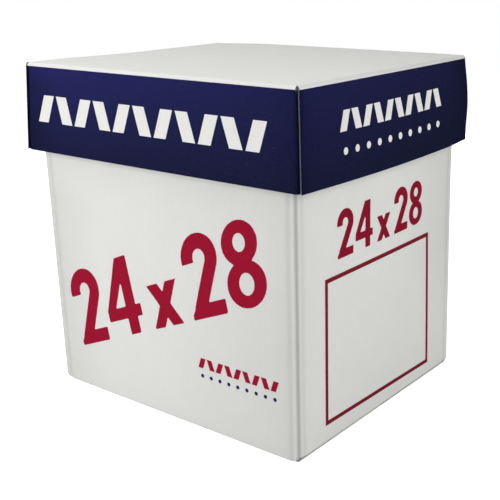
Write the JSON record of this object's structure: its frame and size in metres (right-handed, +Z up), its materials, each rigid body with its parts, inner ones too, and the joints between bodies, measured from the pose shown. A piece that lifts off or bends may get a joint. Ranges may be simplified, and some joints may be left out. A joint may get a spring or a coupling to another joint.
{
  "type": "carton of continuous form paper",
  "caption": "Half-slotted corrugated carton with a lift-off lid, holding a fan-folded stack of continuous form paper with feed holes along both side edges.",
  "frame": {"origin": "centre of the carton's base, on the surface it stands on", "axes": "+X along the carton's length towards the end with the printed frame, +Y towards the back, +Z up"},
  "size_m": [0.318, 0.2702, 0.312],
  "materials": {
    "carton_board": "matt white liner, uncoated, with print in red",
    "lid_board": "matt white liner printed navy blue on the walls",
    "form_paper": "uncoated white"
  },
  "bodies": {
    "carton": {"carton": "carton_board", "paper_stack": "form_paper"},
    "lid": {"lid": "lid_board"}
  },
  "joints": [
    {"name": "lid_lift", "type": "slide", "parent": "carton", "child": "lid", "axis": [0, 0, 1], "range_m": [0, 0.1]}
  ]
}
